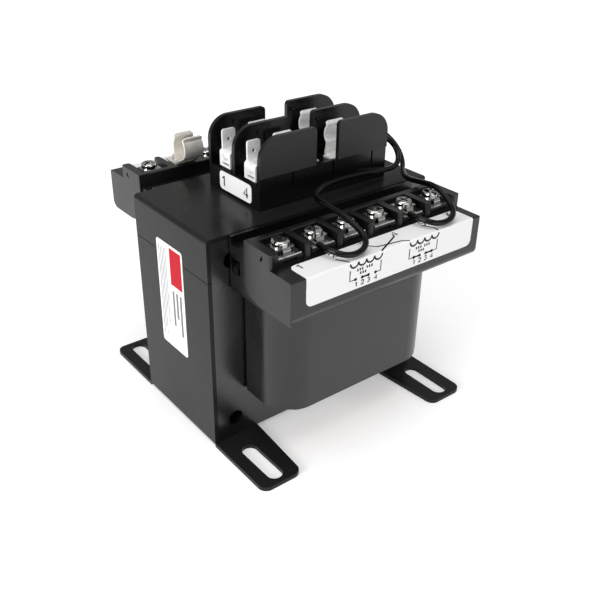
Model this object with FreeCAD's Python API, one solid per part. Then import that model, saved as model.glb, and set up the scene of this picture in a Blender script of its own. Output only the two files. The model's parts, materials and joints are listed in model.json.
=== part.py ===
import FreeCAD, Part
import math
import os

# Laminated chassis transformer with two terminal blocks, a two-pole fuse holder on the cap
# and two fuse clips on the rear terminals.
# Lengths are in millimetres. X runs along the terminal strips, the side with the wiring label
# faces -Y and Z points up. The origin is the centre of the footprint on the mounting plane.

Vector = FreeCAD.Vector

# Core and sheet metal
sheet_t = 1.9
leg_w = 18.9
tongue_w = 37.8
window_w = 18.95
window_h = 57.0
yoke_h = 19.35
stack_d = 57.2
corner_hole_d = 7.0
corner_hole_inset = 9.2
bend_r = sheet_t

# Feet
foot_reach = 36.2
foot_root_w = 22.4
foot_tip_w = 19.6
foot_corner_r = 4.0
slot_w = 7.1
slot_len = 24.6
slot_x = 49.1
slot_reach = 21.4

# Cap over the core
cap_flange_h = 18.5
cap_seam = 0.3

# Bobbin and coil
tongue_gap = 0.4
bobbin_wall = 1.5
flange_t = 1.8
flange_gap = 0.35
window_clearance = 0.75
bottom_flange_y = 48.0
bottom_flange_r = 5.0
top_flange_y = 54.0
top_flange_r = 6.0
primary_build = 7.4
primary_bulge = 3.5
primary_corner_r = 7.0
insulation_t = 0.6
wrap_t = 0.8
coil_half = 42.4
coil_end = 55.3
coil_corner_r = 14.5
coil_step_gap = 0.5
coil_step_r = 1.2
coil_root_r = 0.4
coil_bottom_gap = 1.7
wrap_top_gap = 0.2
wrap_overlap = 0.5
dart_w = 4.5
dart_h = 3.2
dart_angle = 52.0
dart_depth = 0.5

# Terminal blocks
block_end_margin = 2.1
block_front = 69.15
block_back_gap = 0.6
block_h = 24.0
ledge_drop = 5.9
cheek_step = 1.0
block_wall = 1.8
deck_t = 2.6
back_wall_t = 1.2
shelf_front = 40.4
back_wall_top = 21.4
rail_t = 3.0
nose_y = 57.2
end_wall_t = 4.0
barrier_t = 3.0
terminal_pitch = 15.8
terminal_count = 6
lower_edge_r = 3.5
end_corner_r = 0.6
screw_y = 49.6
pedestal_h = 2.3
pedestal_front = 56.0
pedestal_w = 11.8
pedestal_slot_w = 6.6
pedestal_slot_h = 1.0
pedestal_slot_depth = 0.9
pedestal_dot_r = 0.35
pedestal_dot_x = 1.5
pedestal_dot_depth = 0.7
end_mark_w = 2.4
end_mark_h = 3.1
end_mark_depth = 0.6
end_mark_y = 51.6
end_mark_drop = 1.7
boss_r = 4.0
boss_len = 8.0
rib_t = 2.6
window_y0 = 30.6
window_y1 = 36.2
window_z0 = 6.6
window_z1 = 12.8
latch_t = 1.4
latch_gap = 0.2

# Terminals
plate_t = 0.8
plate_w = 10.6
plate_front = 55.7
plate_tail_w = 3.4
plate_tail_len = 12.0
clamp_w = 8.6
clamp_lift = 1.0
clamp_tongue_w = 3.6
screw_shank_r = 1.95
screw_head_r = 3.6
screw_head_h = 2.3
screw_len = 12.0
screw_slot_w = 1.0
screw_slot_depth = 1.1
front_turn = 17
front_turn_step = 41
rear_turn = 30
rear_turn_step = 53
screw_slot_run = 0.6
screw_round = 0.45
screw_play = 0.15
clip_screw_turn = 20
holder_screw_turn = 45
lead_out_r = 1.0
lead_out_play = 0.2

# Fuse clips
fuse_d = 10.3
clip_t = 0.8
clip_squeeze = 1.0
clip_len = 9.6
clip_base_half = 4.6
clip_bend_r = 0.9
clip_grip_angle = 38.0
clip_neck_run = 0.9
clip_flare = 2.0
clip_flare_angle = 30.0
clip_corner = 1.0
clip_toe = 1.4
clip_spacing = 28.6
clip_on_terminal = (1, 3)
clip_screw_head_r = 3.2
clip_screw_gap = 0.2
secondary_tab_end = 53.9
secondary_lip_y = 44.1
secondary_lip_h = 1.3
secondary_fuse_h = 8.6
secondary_lean_angle = 64.0

# Fuse holder on the cap
holder_x0 = -26.5
holder_x1 = 42.3
holder_half = 19.0
holder_h = 13.9
holder_floor = 10.3
holder_wall_t = 2.0
holder_wall_h = 30.2
holder_inset = 0.5
lobe_gap_x0 = 2.2
lobe_gap_x1 = 14.2
lobe_outer_r = 9.5
lobe_inner_r = 1.8
groove_w = 0.9
groove_len = 6.5
groove_depth = 0.6
groove_x = (-9.7, 11.9, 34.0)
rib_len = 8.0
rib_h = 1.0
rib_drop = 3.2
rib_rise = 0.7
rib_gap = 2.0
pocket_depth = 0.5
pocket_x = -23.2
pocket_len = 12.4
pocket_drop = 5.0
pocket_low_x = -25.6
pocket_low_h = 7.2
pocket_boss_r = 1.8
pocket_boss_x = -16.2
pole_fuse_h = 9.7
load_clip_x = 23.6
line_riser_x = -18.9
bridge_h = 8.0
bridge_seat_h = 1.7
bridge_seat_d = 1.8
bridge_seat_drop = 0.5
bridge_seat_gap = 0.4
bridge_slot_h = 0.7
bridge_slot_z = 1.2
bridge_slot_w = 4.8
bridge_dome_r = 2.9
bridge_dome_h = 0.6
bridge_dome_drop = 1.8
strip_bend_r = 1.2
bridge_w = 7.6
tab_w = 6.35
tab_x = -22.6
tab_h = 8.7
tab_hole_d = 1.6
tab_hole_drop = 4.4
tab_corner_r = 1.0
tail_x = 30.0
tail_h = 5.0
tail_end = 36.4
rivet_head_r = 1.9
rivet_shank_r = 1.2
rivet_head_h = 1.1
rivet_len = 6.0
holder_screw_x = 7.7
holder_screw_grip = 1.8

# Leads between the load clips and the front terminals
lead_d = 2.4
receptacle_w = 7.8
receptacle_h = 3.2
receptacle_x = 31.25
receptacle_len = 5.75
receptacle_gap = 0.05
barrel_r = 1.6
barrel_len = 3.4
ferrule_r = 0.45
ferrule_len = 5.4
ferrule_x = 2.9
lead_end_gap = 0.35
lead_end_lift = 0.25
lead_end_run = 7.15

# Labels
label_t = 0.2
label_end_margin = 7.0
label_right_margin = 4.5
wiring_label_back = 58.6
wiring_label_low = 6.2
label_corner_r = 2.6
label_fold_r = 0.5
nameplate_corner_r = 1.5
nameplate_y0 = -9.7
nameplate_y1 = 10.9
nameplate_z0 = 36.2
nameplate_z1 = 86.6
holder_label_y0 = -12.9
holder_label_y1 = 10.3
holder_label_z0 = 1.4
holder_label_h = 8.1
holder_label_corner_r = 1.8

# Worked out from the sizes above
core_half = leg_w + window_w + tongue_w / 2
outer_half = core_half + sheet_t
stack_half = stack_d / 2
core_z0 = sheet_t
window_bottom = core_z0 + yoke_h
window_top = window_bottom + window_h
core_top = window_top + yoke_h
cap_top = core_top + sheet_t
foot_half = stack_half + foot_reach
slot_y = stack_half + slot_reach
tongue_half = tongue_w / 2
window_edge = tongue_half + window_w
coil_in_half = window_edge - window_clearance
bobbin_x = tongue_half + tongue_gap + bobbin_wall
bobbin_y = stack_half + tongue_gap + bobbin_wall
coil_z0 = window_bottom + flange_gap + flange_t + coil_bottom_gap
coil_z1 = window_top - flange_gap - flange_t - wrap_top_gap
block_z0 = window_top - flange_gap
block_back = stack_half + block_back_gap
block_top = block_z0 + block_h
ledge_z = block_top - ledge_drop
block_half = terminal_count * terminal_pitch / 2 + block_end_margin
body_half = block_half - cheek_step
top_flange_half = body_half - latch_gap
cavity_half = body_half - block_wall
pedestal_z = ledge_z + pedestal_h
plate_z = pedestal_z + plate_t
clamp_seat = plate_z + clamp_lift + plate_t
tail_y = shelf_front + rail_t + 0.8
holder_z0 = cap_top
holder_floor_z = holder_z0 + holder_floor
holder_top = holder_z0 + holder_h
pole_pitch = holder_half - holder_wall_t / 2
line_clip_x = load_clip_x - clip_spacing
clip_r = (fuse_d - clip_squeeze + clip_t) / 2
bay_half = (pole_pitch - holder_wall_t) / 2
terminal_x = [(i - (terminal_count - 1) / 2) * terminal_pitch for i in range(terminal_count)]


def in_xy(z):
    return lambda u, v: Vector(u, v, z)


def in_yz(x):
    return lambda u, v: Vector(x, u, v)


def in_xz(y):
    return lambda u, v: Vector(u, y, v)


def unit(du, dv):
    length = math.hypot(du, dv)
    return du / length, dv / length


def rounded_wire(corners, place):
    """Closed wire through the corners (u, v, radius), with an arc in each corner that has a radius."""
    stretches = []
    count = len(corners)
    for i in range(count):
        u, v, radius = corners[i]
        before = corners[i - 1]
        after = corners[(i + 1) % count]
        if radius <= 0:
            stretches.append(((u, v), None, (u, v)))
            continue
        au, av = unit(before[0] - u, before[1] - v)
        bu, bv = unit(after[0] - u, after[1] - v)
        half = math.acos(max(-1.0, min(1.0, au * bu + av * bv))) / 2
        cut = radius / math.tan(half)
        mu, mv = unit(au + bu, av + bv)
        centre_run = radius / math.sin(half)
        middle = (u + mu * (centre_run - radius), v + mv * (centre_run - radius))
        stretches.append(((u + au * cut, v + av * cut), middle, (u + bu * cut, v + bv * cut)))
    edges = []
    for i in range(count):
        start, middle, end = stretches[i]
        if middle is not None:
            edges.append(Part.Arc(place(*start), place(*middle), place(*end)).toShape())
        following = stretches[(i + 1) % count][0]
        if math.dist(end, following) > 1e-6:
            edges.append(Part.LineSegment(place(*end), place(*following)).toShape())
    return Part.Wire(edges)


def slab_xy(corners, z0, z1):
    return Part.Face(rounded_wire(corners, in_xy(z0))).extrude(Vector(0, 0, z1 - z0))


def slab_yz(corners, x0, x1):
    return Part.Face(rounded_wire(corners, in_yz(x0))).extrude(Vector(x1 - x0, 0, 0))


def slab_xz(corners, y0, y1):
    return Part.Face(rounded_wire(corners, in_xz(y0))).extrude(Vector(0, y1 - y0, 0))


def box(x0, x1, y0, y1, z0, z1):
    return Part.makeBox(x1 - x0, y1 - y0, z1 - z0, Vector(x0, y0, z0))


def rectangle(u0, u1, v0, v1, radius=0.0):
    return [(u0, v0, radius), (u1, v0, radius), (u1, v1, radius), (u0, v1, radius)]


def post(x, y, radius, z0, z1):
    return Part.makeCylinder(radius, z1 - z0, Vector(x, y, z0))


def strip_outline(path, thickness):
    """Outline of a bent strip whose middle line runs through the points (u, v, bend radius)."""
    left = []
    right = []
    last = len(path) - 1
    for i, (u, v, radius) in enumerate(path):
        ahead = unit(path[min(i, last - 1) + 1][0] - path[min(i, last - 1)][0],
                     path[min(i, last - 1) + 1][1] - path[min(i, last - 1)][1])
        back = unit(path[max(i, 1)][0] - path[max(i, 1) - 1][0],
                    path[max(i, 1)][1] - path[max(i, 1) - 1][1])
        along = 1 + ahead[0] * back[0] + ahead[1] * back[1]
        nu = -(ahead[1] + back[1]) / along
        nv = (ahead[0] + back[0]) / along
        turn = back[0] * ahead[1] - back[1] * ahead[0]
        side = math.copysign(thickness / 2, turn) if radius > 0 else 0.0
        left_r = round(max(radius - side, 0.0), 6)
        right_r = round(max(radius + side, 0.0), 6)
        left.append((u + nu * thickness / 2, v + nv * thickness / 2, left_r))
        right.append((u - nu * thickness / 2, v - nv * thickness / 2, right_r))
    return left + right[::-1]


def fuse_all(shapes):
    return shapes[0].multiFuse(shapes[1:]).removeSplitter()


def half_turn(shape):
    turned = shape.copy()
    turned.rotate(Vector(0, 0, 0), Vector(0, 0, 1), 180)
    return turned


def save(name, shape):
    shape.exportStep("parts/" + name + ".step")
    print(name, "solids", len(shape.Solids), "valid", shape.isValid(), "volume", round(shape.Volume, 1))


# Core

def e_laminations():
    """Stack of E sheets: the lower yoke with the middle and outer legs."""
    corners = [(-core_half, core_z0, 0), (core_half, core_z0, 0), (core_half, window_top, 0),
               (window_edge, window_top, 0), (window_edge, window_bottom, 0),
               (tongue_half, window_bottom, 0), (tongue_half, window_top, 0),
               (-tongue_half, window_top, 0), (-tongue_half, window_bottom, 0),
               (-window_edge, window_bottom, 0), (-window_edge, window_top, 0),
               (-core_half, window_top, 0)]
    stack = slab_xz(corners, -stack_half, stack_half)
    return stack.cut(corner_holes(core_z0 + corner_hole_inset))


def i_laminations():
    """Stack of I sheets that closes the legs at the top."""
    stack = box(-core_half, core_half, -stack_half, stack_half, window_top, core_top)
    return stack.cut(corner_holes(core_top - corner_hole_inset))


def corner_holes(z):
    hole_x = core_half - corner_hole_inset
    holes = [Part.makeCylinder(corner_hole_d / 2, stack_d, Vector(x, -stack_half, z), Vector(0, 1, 0))
             for x in (-hole_x, hole_x)]
    return Part.makeCompound(holes)


# Coil

def coil_corners(in_half, bulge_half, end_half, corner_r, step_y):
    """Plan of a coil that fills the windows and bulges outside the stack."""
    quarter = [(in_half, step_y, coil_root_r), (bulge_half, step_y, coil_step_r),
               (bulge_half, end_half, corner_r)]
    rear = quarter + [(-x, y, r) for x, y, r in quarter[::-1]]
    return rear + [(-x, -y, r) for x, y, r in rear]


def bobbin():
    tube = box(-bobbin_x, bobbin_x, -bobbin_y, bobbin_y, window_bottom + flange_gap, block_z0)
    low_z = window_bottom + flange_gap
    low_flange = slab_xy(rectangle(-coil_in_half, coil_in_half, -bottom_flange_y, bottom_flange_y,
                                   bottom_flange_r),
                         low_z, low_z + flange_t)
    top_plan = coil_corners(coil_in_half, top_flange_half, top_flange_y, top_flange_r,
                            block_back)
    top_flange = slab_xy(top_plan, block_z0 - flange_t, block_z0)
    pieces = [tube, low_flange, top_flange]
    for side in (-1, 1):
        for end in (-1, 1):
            pieces += latch_arm(side, end)
    spool = fuse_all(pieces)
    inner_x = tongue_half + tongue_gap
    inner_y = stack_half + tongue_gap
    spool = spool.cut(box(-inner_x, inner_x, -inner_y, inner_y, low_z - 1, block_z0 + 1))
    lead_y = tail_y + plate_t / 2 + lead_out_r
    hole_r = lead_out_r + lead_out_play
    holes = [post(x, y, hole_r, coil_z1, block_z0 + 1) for x in terminal_x for y in (-lead_y, lead_y)]
    return spool.cut(Part.makeCompound(holes))


def latch_arm(side, end):
    """Upright snap arm on the top flange, with a nub that sits in the window of the terminal block."""
    arm_out = cavity_half - latch_gap
    arm_y0 = window_y0 + 0.6
    arm_y1 = window_y1 - 1.7
    nub_z0 = block_z0 + window_z0 + latch_gap
    nub_z1 = nub_z0 + 3.6
    arm = box(arm_out - latch_t, arm_out, arm_y0, arm_y1, block_z0 - flange_t, nub_z1)
    nub_corners = [(arm_out - 0.4, nub_z0, 0), (body_half - latch_gap, nub_z0, 0),
                   (body_half - latch_gap, nub_z0 + 2.0, 0), (arm_out, nub_z1, 0), (arm_out - 0.4, nub_z1, 0)]
    nub = slab_xz(nub_corners, arm_y0, arm_y1)
    placed = []
    for piece in (arm, nub):
        if side < 0:
            piece = piece.mirror(Vector(0, 0, 0), Vector(1, 0, 0))
        if end < 0:
            piece = piece.mirror(Vector(0, 0, 0), Vector(0, 1, 0))
        placed.append(piece)
    return placed


primary_plan = rectangle(-bobbin_x - primary_build, bobbin_x + primary_build,
                         -bobbin_y - primary_build - primary_bulge,
                         bobbin_y + primary_build + primary_bulge, primary_corner_r)
insulation_plan = rectangle(primary_plan[0][0] - insulation_t, primary_plan[1][0] + insulation_t,
                            primary_plan[0][1] - insulation_t, primary_plan[2][1] + insulation_t,
                            primary_corner_r + insulation_t)
secondary_plan = coil_corners(coil_in_half - wrap_t, coil_half - wrap_t, coil_end - wrap_t,
                              coil_corner_r - wrap_t, stack_half + coil_step_gap + wrap_t)
wrap_plan = coil_corners(coil_in_half, coil_half, coil_end, coil_corner_r, stack_half + coil_step_gap)
bobbin_plan = rectangle(-bobbin_x, bobbin_x, -bobbin_y, bobbin_y)


def coil_ring(outer, inner, z0, z1):
    return slab_xy(outer, z0, z1).cut(slab_xy(inner, z0, z1))


def outer_wrap():
    """Paper wrap round the coil, with a shallow dart at the foot of each corner."""
    z0 = coil_z0 - wrap_overlap
    wrap = coil_ring(wrap_plan, secondary_plan, z0, coil_z1)
    darts = []
    angle = math.radians(dart_angle)
    centre_x = coil_half - coil_corner_r
    centre_y = coil_end - coil_corner_r
    for sx in (-1, 1):
        for sy in (-1, 1):
            out = Vector(sx * math.cos(angle), sy * math.sin(angle), 0)
            along = Vector(-out.y, out.x, 0)
            foot = Vector(sx * centre_x, sy * centre_y, z0) + out * (coil_corner_r - dart_depth)
            points = [foot - along * dart_w / 2, foot + along * dart_w / 2, foot + Vector(0, 0, dart_h)]
            face = Part.Face(Part.makePolygon(points + points[:1]))
            darts.append(face.extrude(out * 2 * dart_depth))
    return wrap.cut(Part.makeCompound(darts))


# Brackets and cap

def right_bracket():
    """Side plate and mounting foot folded from one sheet."""
    root_x = outer_half - foot_root_w
    tip_x = outer_half - foot_tip_w
    foot_plan = [(outer_half, -foot_half, foot_corner_r), (outer_half, foot_half, foot_corner_r),
                 (tip_x, foot_half, foot_corner_r), (root_x, stack_half, 2.0),
                 (root_x, -stack_half, 2.0), (tip_x, -foot_half, foot_corner_r)]
    foot = slab_xy(foot_plan, 0, sheet_t)
    middle = outer_half - sheet_t / 2
    fold = [(root_x + 4, sheet_t / 2, 0), (middle, sheet_t / 2, bend_r - sheet_t / 2),
            (middle, core_top - cap_flange_h - cap_seam + sheet_t, 0)]
    plate = slab_xz(strip_outline(fold, sheet_t), -stack_half, stack_half)
    corner = box(outer_half - bend_r, outer_half + 1, -stack_half, stack_half, -1, bend_r)
    bracket = fuse_all([foot.cut(corner), plate])
    slots = [slab_xy(rectangle(slot_x - slot_w / 2, slot_x + slot_w / 2, y - slot_len / 2, y + slot_len / 2,
                               slot_w / 2 - 0.001), -1, sheet_t + 1) for y in (-slot_y, slot_y)]
    return bracket.cut(Part.makeCompound(slots))


def top_cap():
    """Sheet channel over the core, with screw holes for the fuse holder."""
    middle = outer_half - sheet_t / 2
    top = cap_top - sheet_t / 2
    low = core_top - cap_flange_h + sheet_t
    channel = [(-middle, low, 0), (-middle, top, bend_r - sheet_t / 2),
               (middle, top, bend_r - sheet_t / 2), (middle, low, 0)]
    cap = slab_xz(strip_outline(channel, sheet_t), -stack_half, stack_half)
    holes = [post(holder_screw_x, y, screw_shank_r, core_top - 1, cap_top + 1) for y in pole_centres()]
    return cap.cut(Part.makeCompound(holes))


def pole_centres():
    return (-pole_pitch / 2, pole_pitch / 2)


# Terminal blocks

def terminal_block():
    """Moulded six-way block in its front position: back wall, shelf, rail, barriers, ledge and skirt."""
    r = lower_edge_r
    profile = [(-block_back, block_z0, 0), (-block_back, block_z0 + back_wall_top, 0),
               (-block_back - back_wall_t, block_z0 + back_wall_top, 0),
               (-block_back - back_wall_t, ledge_z, 0), (-shelf_front, ledge_z, 0),
               (-shelf_front, block_top, 0.5), (-shelf_front - rail_t, block_top, 0.5),
               (-shelf_front - rail_t, ledge_z, 0), (-block_front, ledge_z, 0.5), (-block_front, block_z0, r)]
    body = slab_yz(profile, -body_half, body_half)
    pieces = [body, end_cheek(-block_half, end_corner_r), end_cheek(body_half, r)]
    barrier_count = terminal_count - 1
    for i in range(barrier_count):
        x = (i - (barrier_count - 1) / 2) * terminal_pitch
        pieces.append(slab_xy(barrier_plan(x), ledge_z - 1, block_top))
    for x0, x1 in ((-block_half, -block_half + end_wall_t), (block_half - end_wall_t, block_half)):
        pieces.append(slab_xy(end_wall_plan(x0, x1), ledge_z - 1, block_top))
    for x in terminal_x:
        pieces.append(box(x - pedestal_w / 2, x + pedestal_w / 2, -pedestal_front, -shelf_front - 1,
                          ledge_z - 1, pedestal_z))
    block = fuse_all(pieces)
    return block.cut(Part.makeCompound(block_cuts()))


def barrier_plan(x):
    h = barrier_t / 2
    return [(x - h, -shelf_front - 1, 0), (x - h, -nose_y, h - 0.01), (x + h, -nose_y, h - 0.01),
            (x + h, -shelf_front - 1, 0)]


def end_wall_plan(x0, x1):
    return [(x0, -shelf_front, 0), (x0, -nose_y, end_wall_t / 3), (x1, -nose_y, end_wall_t / 3),
            (x1, -shelf_front, 0)]


def end_cheek(x0, corner_r):
    """Raised end face: its rear lower corner sweeps up in a wide curve."""
    profile = [(-shelf_front, ledge_z + 1, 0), (-shelf_front, block_z0 + 3.8, 5.0),
               (-shelf_front - 9.0, block_z0, 12.0), (-block_front, block_z0, corner_r),
               (-block_front, ledge_z, 0.5), (-nose_y + 1, ledge_z, 0), (-nose_y + 1, ledge_z + 1, 0)]
    return slab_yz(profile, x0, x0 + cheek_step)


def block_cuts():
    """Cells under the deck, screw holes, terminal tail slots, latch windows and marks on the ends."""
    deck_z = ledge_z - deck_t
    cuts = []
    for x in terminal_x:
        cell = box(x - (terminal_pitch - rib_t) / 2, x + (terminal_pitch - rib_t) / 2,
                   -block_front + block_wall, -shelf_front - rail_t / 2, block_z0 - 1, deck_z)
        boss = post(x, -screw_y, boss_r, deck_z - boss_len, deck_z)
        cuts.append(cell.cut(boss))
        cuts.append(post(x, -screw_y, screw_shank_r, deck_z - boss_len - 1, pedestal_z + 1))
        cuts.append(box(x - plate_tail_w / 2, x + plate_tail_w / 2, -tail_y - plate_t / 2,
                        -tail_y + plate_t / 2, deck_z - 1, pedestal_z + 1))
        slot_z = ledge_z + pedestal_h / 2
        cuts.append(box(x - pedestal_slot_w / 2, x + pedestal_slot_w / 2, -pedestal_front - 1,
                        -pedestal_front + pedestal_slot_depth, slot_z - pedestal_slot_h / 2,
                        slot_z + pedestal_slot_h / 2))
        for dot_x in (x - pedestal_dot_x, x + pedestal_dot_x):
            cuts.append(Part.makeCylinder(pedestal_dot_r, pedestal_slot_depth + pedestal_dot_depth,
                                          Vector(dot_x, -pedestal_front, slot_z), Vector(0, 1, 0)))
    cuts.append(box(-cavity_half, cavity_half, -shelf_front + block_wall, -block_back - back_wall_t,
                    block_z0 - 1, deck_z))
    for x0, x1 in ((-body_half - 1, -cavity_half + 1), (cavity_half - 1, body_half + 1)):
        cuts.append(box(x0, x1, -window_y1, -window_y0, block_z0 + window_z0, block_z0 + window_z1))
    mark_top = block_top - end_mark_drop
    mark = [(-end_mark_y, mark_top, 0), (-end_mark_y + end_mark_w / 2, mark_top - end_mark_h, 0),
            (-end_mark_y - end_mark_w / 2, mark_top - end_mark_h / 2, 0)]
    for x0, x1 in ((-block_half, -block_half + end_mark_depth), (block_half - end_mark_depth, block_half)):
        cuts.append(slab_yz(mark, x0, x1))
    return cuts


def terminal_plate(x):
    """Plated terminal strip with a tail that goes down through the deck."""
    plate = box(x - plate_w / 2, x + plate_w / 2, -plate_front, -tail_y + plate_t / 2, pedestal_z, plate_z)
    tail = box(x - plate_tail_w / 2, x + plate_tail_w / 2, -tail_y - plate_t / 2, -tail_y + plate_t / 2,
               pedestal_z - plate_tail_len, plate_z)
    return fuse_all([plate, tail]).cut(post(x, -screw_y, screw_shank_r + 0.25, pedestal_z - 1, plate_z + 1))


def clamp_washer(x):
    """Saddle washer: the rear edge and a narrow front tongue fold down, so a wire enters on each side."""
    half = clamp_w / 2 - plate_t / 2
    middle = plate_z + clamp_lift + plate_t / 2
    path = [(-screw_y - half, plate_z, 0), (-screw_y - half, middle, 0.9), (-screw_y + half, middle, 0.9),
            (-screw_y + half, plate_z, 0)]
    saddle = slab_yz(strip_outline(path, plate_t), x - clamp_w / 2, x + clamp_w / 2)
    front = -screw_y - clamp_w / 2
    for x0, x1 in ((x - clamp_w, x - clamp_tongue_w / 2), (x + clamp_tongue_w / 2, x + clamp_w)):
        saddle = saddle.cut(box(x0, x1, front - 1, front + 1.3, plate_z - 1, middle + 2))
    return saddle.cut(post(x, -screw_y, screw_shank_r + screw_play, plate_z - 1, middle + 2))


def pan_screw(x, y, seat_z, length, head_r, turn):
    """Pan-head screw with a slot and a shorter cross slot, turned by an angle."""
    shank = post(x, y, screw_shank_r, seat_z - length, seat_z)
    head = post(x, y, head_r, seat_z, seat_z + screw_head_h)
    top_edges = [e for e in head.Edges if e.BoundBox.ZMin > seat_z + screw_head_h - 0.01]
    head = head.makeFillet(screw_head_h * screw_round, top_edges)
    screw = fuse_all([shank, head])
    recess_z = seat_z + screw_head_h - screw_slot_depth
    top = seat_z + screw_head_h + 1
    slot = box(x - head_r - 1, x + head_r + 1, y - screw_slot_w / 2, y + screw_slot_w / 2, recess_z, top)
    arm = head_r * screw_slot_run
    cross = box(x - screw_slot_w / 2, x + screw_slot_w / 2, y - arm, y + arm, recess_z, top)
    recess = slot.fuse(cross)
    recess.rotate(Vector(x, y, 0), Vector(0, 0, 1), turn)
    return screw.cut(recess)


# Fuse clips

def grip_points():
    """Throat and tip of a clip leg, measured from the middle of the fuse."""
    grip = math.radians(clip_grip_angle)
    flare = math.radians(clip_flare_angle)
    throat = (clip_r * math.cos(grip) - clip_neck_run * math.sin(grip),
              clip_r * math.sin(grip) + clip_neck_run * math.cos(grip))
    tip = (throat[0] + clip_flare * math.sin(flare), throat[1] + clip_flare * math.cos(flare))
    return throat, tip


def clip_profile(centre_y, base_z, fuse_height):
    """Outline of a spring clip seen along the fuse: a flat base, a waist, two jaws and flared lips."""
    throat, tip = grip_points()
    belly = clip_r / math.cos(math.radians(clip_grip_angle))
    side = [(clip_base_half, -fuse_height, clip_bend_r), (throat[0], -throat[1], clip_bend_r),
            (belly, 0, clip_r), (throat[0], throat[1], clip_bend_r), (tip[0], tip[1], 0)]
    path = [(-u, v, radius) for u, v, radius in side[::-1]] + side
    return strip_outline([(centre_y + u, base_z + fuse_height + v, radius) for u, v, radius in path], clip_t)


def cut_corners(clip, centre_x, top_z):
    """Clip with the upper corners of its legs cut off at an angle."""
    x0 = centre_x - clip_len / 2
    x1 = centre_x + clip_len / 2
    bounds = clip.BoundBox
    low = bounds.ZMin - 1
    keep = [(x0, low, 0), (x1, low, 0), (x1, top_z - clip_corner, 0), (x1 - clip_corner, top_z, 0),
            (x0 + clip_corner, top_z, 0), (x0, top_z - clip_corner, 0)]
    return clip.common(slab_xz(keep, bounds.YMin - 1, bounds.YMax + 1))


def pole_clip(centre_x, pole_y):
    """Clip on the floor of a bay."""
    base_z = holder_floor_z + clip_t / 2
    profile = clip_profile(pole_y, base_z, pole_fuse_h)
    clip = slab_yz(profile, centre_x - clip_len / 2, centre_x + clip_len / 2)
    return cut_corners(clip, centre_x, clip.BoundBox.ZMax)


def secondary_clip(x):
    """Clip on a rear terminal: its jaws stand beside the screw and lean out over the rail."""
    throat, tip = grip_points()
    base_z = clamp_seat + clip_t / 2
    riser_y = screw_y - clip_screw_head_r - clip_screw_gap - clip_t / 2
    fuse_y = riser_y - clip_r
    fuse_z = base_z + secondary_fuse_h
    grip = math.radians(clip_grip_angle)
    lean = math.radians(secondary_lean_angle)
    corner = clip_r / math.cos((grip + lean) / 2)
    corner_angle = (lean - grip) / 2
    foot_run = (clip_r * math.cos(lean) + clip_r - clip_t / 2) / math.sin(lean)
    base = [(secondary_tab_end, base_z, 0), (secondary_lip_y, base_z, clip_t / 2),
            (secondary_lip_y, base_z + secondary_lip_h, 0)]
    far_leg = [(clip_r, -secondary_fuse_h, 0), (clip_r, clip_r * math.tan(grip / 2), clip_r),
               (throat[0], throat[1], clip_bend_r), (tip[0], tip[1], 0)]
    near_leg = [(clip_r - clip_t / 2, -clip_r * math.sin(lean) - foot_run * math.cos(lean), 0),
                (-corner * math.cos(corner_angle), -corner * math.sin(corner_angle), clip_r),
                (-throat[0], throat[1], clip_bend_r), (-tip[0], tip[1], 0)]
    paths = [base]
    for leg in (far_leg, near_leg):
        paths.append([(fuse_y + u, fuse_z + v, radius) for u, v, radius in leg])
    strips = [slab_yz(strip_outline(path, clip_t), x - clip_len / 2, x + clip_len / 2) for path in paths]
    clip = fuse_all(strips)
    clip = cut_corners(clip, x, clip.BoundBox.ZMax)
    return clip.cut(post(x, screw_y, screw_shank_r + screw_play, clamp_seat - 1, clamp_seat + clip_t + 1))


def line_clip(pole_y):
    """Line side: clip, strip, raised bridge at the open end of the bay and a quick-connect tab."""
    z = holder_floor_z
    strip_z = z + clip_t / 2
    bridge_z = strip_z + bridge_h
    seat_z = z + bridge_seat_h
    middle_y = pole_y - (bridge_w + clip_t) / 2
    path = [(line_clip_x, strip_z, 0), (line_riser_x, strip_z, strip_bend_r),
            (line_riser_x, bridge_z, strip_bend_r), (holder_x0, bridge_z, strip_bend_r),
            (holder_x0, seat_z, 0)]
    bridge = slab_xz(strip_outline(path, clip_t), pole_y - bridge_w + clip_t / 2, pole_y + clip_t / 2)
    tab_low = bridge_z - clip_t / 2
    tab_plan = [(tab_x - tab_w / 2, tab_low, 0), (tab_x + tab_w / 2, tab_low, 0),
                (tab_x + tab_w / 2, tab_low + tab_h, tab_corner_r),
                (tab_x - tab_w / 2, tab_low + tab_h, tab_corner_r)]
    tab = slab_xz(tab_plan, pole_y - clip_t / 2, pole_y + clip_t / 2)
    hole = Part.makeCylinder(tab_hole_d / 2, 2 * clip_t,
                             Vector(tab_x, pole_y - clip_t, tab_low + tab_h - tab_hole_drop), Vector(0, 1, 0))
    face_x = holder_x0 - clip_t / 2
    dome_x = face_x - bridge_dome_h + bridge_dome_r
    dome = Part.makeSphere(bridge_dome_r, Vector(dome_x, middle_y, bridge_z - bridge_dome_drop))
    dome = dome.common(box(face_x - 1, holder_x0, pole_y - bridge_w, pole_y, z, bridge_z))
    slot = box(face_x - 1, holder_x0 + 1, middle_y - bridge_slot_w / 2, middle_y + bridge_slot_w / 2,
               seat_z + bridge_slot_z, seat_z + bridge_slot_z + bridge_slot_h)
    clip = fuse_all([pole_clip(line_clip_x, pole_y), bridge, tab, dome])
    rivet_hole = post(line_clip_x, pole_y, rivet_shank_r, z - 1, z + clip_t + 1)
    return clip.cut(Part.makeCompound([hole, slot, rivet_hole]))


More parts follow.
